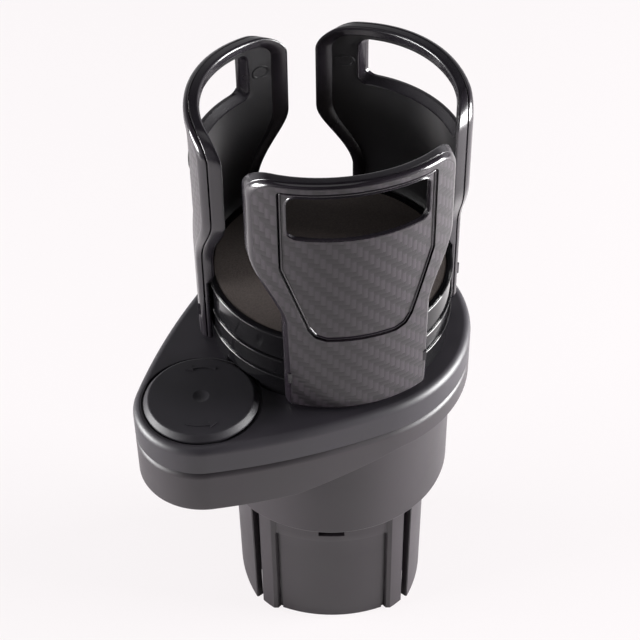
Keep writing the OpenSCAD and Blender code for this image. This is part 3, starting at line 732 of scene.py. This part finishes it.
# (radius, height) down the well, over its shelf, through the neck and back up outside
wellSteps = [(wellIn, shelfZ + 1), (wellIn - 0.3, shelfZ + 0.3), (wellIn - 1, shelfZ), (neckR + 0.5, shelfZ),
             (neckR, shelfZ - 0.5), (neckR, stepZ), (wellR - 1.2, stepZ), (wellR - 0.6, stepZ + 0.16),
             (wellR - 0.16, stepZ + 0.6), (wellR, stepZ + 1.2), (wellR, ceiling)]
stripBetween(bm, lipRings(wellIn, look["wellLip"], deckZ) + [ringAt(r, z) for r, z in wellSteps])
fillRegion(bm, trayLoop(wall), [circleLoop(wellR), circleLoop(boss, pivot)], level(ceiling), hiddenStep)
# the boss holds the nut from below and the washer from above
bossFoot, bossFace = deckZ - look["skirtTail"], boss - look["bossSoft"]
stripBetween(bm, [ringAt(boss, ceiling, pivot), ringAt(boss, bossFoot + look["bossSoft"], pivot),
                  ringAt(bossFace, bossFoot, pivot)])
nutTop = bossFoot + look["bossSoft"] + look["nutHigh"] + look["nutGap"]
hexLoop = densify([polar(pivot, look["nutR"], 60 * k) for k in range(6)], look["nutStep"])
fillRegion(bm, circleLoop(bossFace, pivot), [hexLoop], level(bossFoot))
stripBetween(bm, [atHeight(hexLoop, bossFoot), atHeight(hexLoop, nutTop)])
fillRegion(bm, hexLoop, [circleLoop(postR, pivot)], level(nutTop))
stripBetween(bm, [ringAt(postR, nutTop, pivot), ringAt(postR, thrustZ, pivot)])
fillRegion(bm, circleLoop(thrustR, pivot), [circleLoop(postR, pivot)], level(thrustZ))
stripBetween(bm, [ringAt(thrustR, thrustZ, pivot), ringAt(thrustR, deckZ, pivot)])

# stiffening ribs under the deck, from the boss to the skirt or the well
ribGap, ribStep, ribTop = look["ribGap"], look["ribStep"], ceiling + trayLook["sunk"]
skirtInner = trayLoop(wall - ribGap)
for k in range(look["ribCount"]):
    along = Vector(polar((0, 0), 1, 360 / look["ribCount"] * k))
    aside = Vector((-along.y, along.x)) * look["ribThick"] / 2
    reach = boss - look["ribSunk"]
    while True:
        tip = Vector(pivot) + along * (reach + ribStep)
        if not insideLoop(tip, skirtInner) or tip.length < wellR - ribGap:
            break
        reach += ribStep
    cross = []
    for p in (Vector(pivot) + along * (boss - look["ribSunk"]), Vector(pivot) + along * reach):
        ribZ = max(skirtLow(p.x) + look["ribLift"], bossFoot + look["ribLift"])
        left, right = (p.x - aside.x, p.y - aside.y), (p.x + aside.x, p.y + aside.y)
        cross.append([(*left, ribZ), (*right, ribZ), (*right, ribTop), (*left, ribTop)])
    stripBetween(bm, cross)
    for ring in cross:
        bm.faces.new([bm.verts.new(Vector(p) * mm) for p in ring])
finishPiece(bm, "lowerBodyShell", bodyPlastic, "base", ["lower_body", "well_barrel"])
print("trays ready")


# Plug: four flattened sides; two are sunk panels between ribs, two are sprung tongues set off by slits.
# Angles are in degrees from a panel's middle; ribRise and ribFall are (turn, depth below ribR).
plugLook = {"turn": 1.7, "panelR": 46.2, "panelBack": 15, "tongueR": 46.5, "tongueBack": 13.5, "step": 0.5,
            "stepZ": 41.9, "stepHigh": 1.1, "panelEnd": 33.2, "grooveD": 0.6, "grooveTurn": 0.25,
            "grooveRise": 0.2, "frameRise": 0.4, "frameStart": 35.4, "frameR": 34.1, "ribStart": 37.3,
            "ribR": 35, "ribEnd": 46.6, "ribRise": [(-0.4, 0.25), (0, 0.05), (0.6, 0)], "ribMiddle": (41, 44),
            "ribFall": [(-0.4, 0), (0, 0.3)], "slitEnd": 50.4, "slitTop": 48.2, "slitSoft": 0.3,
            "slitTurn": 0.5, "tongueTurns": [54 + 4 * k for k in range(10)], "slotInner": 4.1,
            "slotHalf": 8.3, "slotLow": 45, "slotHigh": 47.5, "panelTurns": (13, 18, 23, 28.5), "wall": 2.2,
            "draft": 1.1, "tongueDraft": 0.5, "tongueIn": 0.2, "footRound": 0.3, "lean": 1.1,
            "rows": [6, 14, 24, 34], "top": 55.4, "floorR": 27.3, "floorLow": 0.2, "floorTop": 2.4,
            "floorReach": 0.3, "linerSunk": 0.5}


def flattened(t, big, back):
    # the radius, at t degrees from its middle, of a side whose arc is centred behind the axis
    a = math.radians(t)
    return math.sqrt(big ** 2 - (back * math.sin(a)) ** 2) - back * math.cos(a)


def plugQuarter():
    # each column is an angle from the panel's middle, its radius in the sunk field and that above the step
    look = plugLook
    step, rib, end, frame = look["step"], look["ribR"], look["panelEnd"], look["frameStart"]
    turns = [0, look["slotInner"], look["slotHalf"], *look["panelTurns"], end]
    panel = [(t, flattened(t, look["panelR"], look["panelBack"])) for t in turns]
    edgeR = panel[-1][1]
    columns = [(t, r, r + step) for t, r in panel]
    columns.append((end + look["grooveTurn"], edgeR - look["grooveD"], edgeR + step))
    columns.append((frame - look["grooveTurn"], edgeR - look["grooveD"] + look["grooveRise"],
                    edgeR + step + look["frameRise"]))
    ribs = [(frame, look["frameR"])]
    ribs += [(look["ribStart"] + t, rib - deep) for t, deep in look["ribRise"]]
    ribs += [(t, rib) for t in look["ribMiddle"]]
    ribs += [(look["ribEnd"] + t, rib - deep) for t, deep in look["ribFall"]]
    tongue = [(t, flattened(90 - t, look["tongueR"], look["tongueBack"]))
              for t in [look["slitEnd"] + look["slitTurn"]] + look["tongueTurns"]]
    ribs += [(look["slitEnd"], tongue[0][1] - look["slitSoft"])] + tongue
    return columns + [(t, r, r) for t, r in ribs]


def plugWall(bm):
    # a grid of columns and heights, inner and outer, with the cells of the slits and the hook slots left open
    look = plugLook
    quarter = plugQuarter()
    columns = []
    for middle in (45 + look["turn"], 225 + look["turn"]):
        columns += [(middle - t, t, low, high, middle - 90) for t, low, high in reversed(quarter[1:])]
        columns += [(middle + t, t, low, high, middle + 90) for t, low, high in quarter[:-1]]
    foot = look["footRound"]
    heights = [foot * (1 - math.cos(a)) for a in roundSteps] + look["rows"]
    heights += [look["stepZ"] - look["stepHigh"] / 2, look["stepZ"] + look["stepHigh"] / 2, look["slotLow"],
                look["slotHigh"], look["slitTop"], look["top"]]

    def corner(column, z, depth):
        angle, t, low, high, aside = column
        r = (high if z > look["stepZ"] else low) - depth - look["draft"]
        if z < foot:
            r -= foot * (1 - math.sqrt(1 - (1 - z / foot) ** 2))
        if t > look["ribEnd"]:
            # one tongue is pressed in, and the other stands out by as much
            r += look["lean"] * math.sin(math.radians(angle)) * (t - look["ribEnd"]) / (90 - look["ribEnd"])
            r += look["draft"] - look["tongueDraft"] - look["tongueIn"]
            facing, lift = aside, look["tongueDraft"] * z / look["top"]
        else:
            facing, lift = angle - t if aside > angle else angle + t, look["draft"] * z / look["top"]
        a, b = math.radians(angle), math.radians(facing)
        x, y = r * math.cos(a) + lift * math.cos(b), r * math.sin(a) + lift * math.sin(b)
        return bm.verts.new(Vector((x, y, z)) * mm)

    skins = [[[corner(column, z, depth) for z in heights] for column in columns]
             for depth in (0, look["wall"])]
    count = len(columns)

    def isSolid(k, j):
        if not 0 <= j < len(heights) - 1:
            return False
        t = (columns[k % count][1] + columns[(k + 1) % count][1]) / 2
        z = (heights[j] + heights[j + 1]) / 2
        slit = look["ribEnd"] < t < look["slitEnd"] and z < look["slitTop"]
        slot = t < look["slotHalf"] and look["slotLow"] < z < look["slotHigh"]
        return not slit and not slot

    for k in range(count):
        for j in range(len(heights) - 1):
            if not isSolid(k, j):
                continue
            n = (k + 1) % count
            cell = [(k, j), (n, j), (n, j + 1), (k, j + 1)]
            # the inner skin takes the second material, the painted shade of the plug's inside
            for tint, skin in enumerate(skins):
                bm.faces.new([skin[a][b] for a, b in cell]).material_index = tint
            for side, beside in enumerate(((k, j - 1), (k + 1, j), (k, j + 1), (k - 1, j))):
                if not isSolid(*beside):
                    (a, b), (c, d) = cell[side], cell[(side + 1) % 4]
                    bm.faces.new([skins[0][a][b], skins[0][c][d], skins[1][c][d], skins[1][a][b]])
    # the floor reaches into the panels and the ribs, and stays clear of the tongues
    floor = []
    for angle, t, low, high, aside in columns:
        atPanel = t <= look["ribEnd"]
        r = low - look["wall"] - look["draft"] + look["floorReach"] if atPanel else look["floorR"]
        floor.append(polar((0, 0), r, angle))
    stripBetween(bm, [atHeight(floor, look["floorLow"]), atHeight(floor, look["floorTop"])])
    fillRegion(bm, floor, [], level(look["floorLow"]))
    fillRegion(bm, floor, [], level(look["floorTop"]))
    # a liner behind the slits, in the painted-shade material, stands where the real plug has only shade and
    # keeps the inside dark
    stripBetween(bm, [ringAt(look["floorR"], look["floorTop"] - look["linerSunk"]),
                      ringAt(look["floorR"], look["top"])], tint=1)


bm = bmesh.new()
plugWall(bm)
finishPiece(bm, "plugShell", [bodyPlastic, plugInsidePaintedShade], "base", ["base_plug"])
print("plug ready")


# Knob: the steps are (inset, lift) at its foot and its brim, and (outset, drop) at its face and its dimple
knobLook = {"stemR": 2.95, "stemSoft": 0.5, "washer": 0.3, "footSteps": [(0.35, 0), (0.1, 0.1), (0, 0.35)],
            "brimSteps": [(0, 0.15), (0.12, 0.42)], "faceR": 16,
            "faceSteps": [(0.55, 0.32), (0.25, 0.1), (-0.15, 0)], "dimpleR": 2.4,
            "dimpleSteps": [(0.3, 0), (0, 0.06)], "dimpleFlat": 1.2, "dimpleDrop": 0.4, "centreDrop": 0.5,
            "arrowR": 12.4, "arrowWide": 0.7, "arrowRise": 0.2, "arrowSweep": 34, "arrowSteps": 14,
            "arrowStarts": (28, 208), "arrowSunk": 0.02, "headHalf": 1.3, "headSweep": 11}
look = knobLook
low, high = boxMm("lock_knob")
knobTop, knobR, stemFoot = high.z, high.y, low.z
knobFoot = recessFloor + look["washer"]
stemR, soft = look["stemR"], look["stemSoft"]
profile = [(axisR, stemFoot), (stemR - soft, stemFoot), (stemR, stemFoot + soft), (stemR, knobFoot)]
profile += [(knobR - inward, knobFoot + up) for inward, up in look["footSteps"]]
profile += [(knobR - inward, trayTop + up) for inward, up in look["brimSteps"]]
profile += [(look["faceR"] + out, knobTop - down) for out, down in look["faceSteps"]]
profile += [(look["dimpleR"] + out, knobTop - down) for out, down in look["dimpleSteps"]]
profile += [(look["dimpleFlat"], knobTop - look["dimpleDrop"]), (axisR, knobTop - look["centreDrop"])]
bm = bmesh.new()
revolve(bm, profile, pivot)
# two plain arrows stand up along the rim and show which way the knob turns
rise = knobTop + look["arrowRise"]
inner, outer = look["arrowR"] - look["arrowWide"] / 2, look["arrowR"] + look["arrowWide"] / 2
for start in look["arrowStarts"]:
    end = start + look["arrowSweep"]
    arrow = arcPoints(pivot, outer, start, end, look["arrowSteps"])
    arrow += [polar(pivot, look["arrowR"] + out, end + ahead)
              for out, ahead in ((look["headHalf"], 0), (0, look["headSweep"]), (-look["headHalf"], 0))]
    arrow += arcPoints(pivot, inner, end, start, look["arrowSteps"])
    stripBetween(bm, [atHeight(arrow, knobTop - look["arrowSunk"]), atHeight(arrow, rise)])
    fillRegion(bm, arrow, [], level(rise))
finishPiece(bm, "lockKnobCap", knobPlastic, "lock_knob", ["lock_knob"])

# Seat: a polished bead stands a little proud of each layer's upper edge, in a lighter copy of the seat's
# black with stronger specular: a painted highlight along each rim
rimLook = {"proud": 0.06, "high": 1.0, "inward": 0.75, "above": 0.04, "bevelIn": 0.35, "bevelDown": 0.42,
           "footRound": 0.2, "edgeRound": 0.08, "openStart": 35.4, "openSweep": 49.2}


def rimProfile(top):
    look = rimLook
    outer, inner = drumHigh.x + look["proud"], drumHigh.x - look["inward"]
    foot, face = top - look["high"], top + look["above"]
    return roundedPath([(inner, foot, 0), (outer, foot, look["footRound"]),
                        (outer, face - look["bevelDown"], look["edgeRound"]),
                        (outer - look["bevelIn"], face, look["edgeRound"]), (inner, face, 0)], 4)


# the guide ring's bead is open where the claws pass
openArcs = [(rimLook["openStart"] + 120 * k, rimLook["openSweep"]) for k in range(3)]
ringTop = boxMm("base_ring")[1].z
lathePiece("baseRingRim", rimProfile(ringTop), rimPaintedHighlight, "tray")
lathePiece("guideRingRim", rimProfile(guideTop), rimPaintedHighlight, "tray", arcs=openArcs)
lathePiece("drumRim", rimProfile(drumHigh.z), rimPaintedHighlight, "drum")

# Mats: flat pads whose upper edge is broken
matLook = {"edgeIn": 0.4, "edgeDown": 0.35, "cornerSoft": 0.1}


def matProfile(node, rounded):
    look = matLook
    low, high = boxMm(node)
    edge = [(high.x, high.z - look["edgeDown"])]
    if rounded:
        edge.append((high.x - look["cornerSoft"], high.z - look["cornerSoft"]))
    edge.append((high.x - look["edgeIn"], high.z))
    return [(axisR, low.z), (high.x, low.z), *edge, (axisR, high.z)]


lathePiece("drumMatPad", matProfile("drum_mat", True), matRubber, "drum", ["drum_mat"])
lathePiece("wellMatPad", matProfile("well_mat", False), matRubber, "base", ["well_mat"])

# the remaining nodes are shown as they are packed, with a material each
carriedOver = [(zincSteel, ["pivot_post", "tray_screws", "seat_screws", "axle_washer", "axle_screw",
                            "claw_pin_1", "claw_pin_2", "claw_pin_3"]),
               (glossPlastic, ["base_ring", "guide_ring", "scroll_drum"]),
               (plainRubber, ["friction_washer", "knob_washer"]),
               (turnedBrass, ["clamp_nut"]), (trayPlastic, ["tray_underplate"])]
for material, names in carriedOver:
    for name in names:
        nodes[name].data.materials.clear()
        nodes[name].data.materials.append(material)
print("knob, seat and mats ready")


# Stage, lights and camera: wallTop and ceilingFrom are the height, as the sine of the angle above the
# horizon, up to which the room is bright and from which it is dark
stageLook = {"floor": "#cfcbcc", "floorSize": 6, "sky": "#fbf7f8", "glow": 1.0, "seen": 0.9,
             "wall": "#fbfafc", "ceiling": "#38373b", "wallTop": 0.3, "ceilingFrom": 0.62, "roomLight": 1.0,
             "dimSide": (-0.68, -0.73, 0), "dimFrom": 0.35, "dimFull": 0.85, "dimShare": 1.0}


def floorMaterial():
    # the camera sees the paper nearly as white as the sky; the object is lit by a greyer sheet
    look = stageLook
    material, tree, output, coords = newMaterial("paperFloor")
    paper = addNode(tree, "ShaderNodeBsdfDiffuse", {"Color": hexColour(look["floor"])})
    glow = addNode(tree, "ShaderNodeEmission", {"Color": hexColour(look["sky"]), "Strength": look["glow"]})
    path = addNode(tree, "ShaderNodeLightPath")
    seen = addNode(tree, "ShaderNodeMath", {"operation": "MULTIPLY", 1: look["seen"]},
                   {0: path.outputs["Is Camera Ray"]})
    both = addNode(tree, "ShaderNodeMixShader",
                   links={0: seen.outputs[0], 1: paper.outputs[0], 2: glow.outputs[0]})
    tree.links.new(both.outputs[0], output.inputs["Surface"])
    return material


bpy.ops.mesh.primitive_plane_add(size=stageLook["floorSize"], location=(0, 0, 0))
floor = bpy.context.object
floor.name = "paperFloor"
floor.data.materials.append(floorMaterial())

# the room is bright round the horizon and dark above, so upright faces shine and level ones stay black
look = stageLook
world = bpy.data.worlds.new("studio")
bpy.context.scene.world = world
world.use_nodes = True
tree = world.node_tree
tree.nodes.clear()
path = addNode(tree, "ShaderNodeLightPath")
heading = addNode(tree, "ShaderNodeTexCoord")
axes = addNode(tree, "ShaderNodeSeparateXYZ", links={"Vector": heading.outputs["Generated"]})
height = addNode(tree, "ShaderNodeMapRange", {"From Min": look["wallTop"], "From Max": look["ceilingFrom"],
                                              "To Min": 0.0, "To Max": 1.0}, {"Value": axes.outputs["Z"]})
# the side of the room that the object's front faces is dim
toFront = addNode(tree, "ShaderNodeVectorMath", {"operation": "DOT_PRODUCT", 1: look["dimSide"]},
                  {0: heading.outputs["Generated"]})
dim = addNode(tree, "ShaderNodeMapRange", {"From Min": look["dimFrom"], "From Max": look["dimFull"],
                                           "To Min": 0.0, "To Max": look["dimShare"]},
              {"Value": toFront.outputs["Value"]})
shade = addNode(tree, "ShaderNodeMath", {"operation": "MAXIMUM"},
                {0: height.outputs["Result"], 1: dim.outputs["Result"]})
room = addNode(tree, "ShaderNodeMix", {"data_type": "RGBA", 6: hexColour(look["wall"]),
                                       7: hexColour(look["ceiling"])}, {0: shade.outputs[0]})
soft = addNode(tree, "ShaderNodeBackground", {"Strength": look["roomLight"]}, {"Color": room.outputs[2]})
white = addNode(tree, "ShaderNodeBackground", {"Color": hexColour(look["sky"]), "Strength": look["glow"]})
seen = addNode(tree, "ShaderNodeMath", {"operation": "MAXIMUM"},
               {0: path.outputs["Is Camera Ray"], 1: path.outputs["Is Transmission Ray"]})
mixed = addNode(tree, "ShaderNodeMixShader",
                links={0: seen.outputs[0], 1: soft.outputs[0], 2: white.outputs[0]})
addNode(tree, "ShaderNodeOutputWorld", links={"Surface": mixed.outputs[0]})

# name, place, height aimed at, size and power
softboxes = [("topSoftbox", (-0.1, 0.1, 1.1), 0.1, (0.6, 0.6), 1.0),
             ("rightSoftbox", (0.75, -0.68, 0.2), 0.1, (0.5, 0.6), 60),
             ("leftSoftbox", (-0.78, 0.6, 0.26), 0.12, (0.7, 0.3), 30)]
for name, place, aim, size, power in softboxes:
    lamp = bpy.data.lights.new(name, "AREA")
    lamp.shape = "RECTANGLE"
    lamp.size, lamp.size_y = size
    lamp.energy = power
    box = bpy.data.objects.new(name, lamp)
    box.location = place
    box.rotation_euler = (Vector((0, 0, aim)) - Vector(place)).to_track_quat("-Z", "Y").to_euler()
    bpy.context.scene.collection.objects.link(box)

# the view is shifted sideways by 10.43 of the picture's 640 pixels
cameraSetup = {"place": (-0.2717, -0.2924, 0.4881), "target": (0, 0, 0.1151), "roll": -0.44, "lens": 95.66,
               "sensor": 36, "shiftX": -10.43 / 640}
camera = bpy.data.objects.new("camera", bpy.data.cameras.new("camera"))
bpy.context.scene.collection.objects.link(camera)
bpy.context.scene.camera = camera
camera.location = cameraSetup["place"]
facing = (Vector(cameraSetup["target"]) - camera.location).to_track_quat("-Z", "Y")
camera.rotation_mode = "QUATERNION"
camera.rotation_quaternion = facing @ Quaternion((0, 0, 1), math.radians(cameraSetup["roll"]))
camera.data.sensor_width = cameraSetup["sensor"]
camera.data.lens = cameraSetup["lens"]
camera.data.shift_x = cameraSetup["shiftX"]
bpy.context.scene.view_settings.view_transform = "Standard"
print("stage ready")
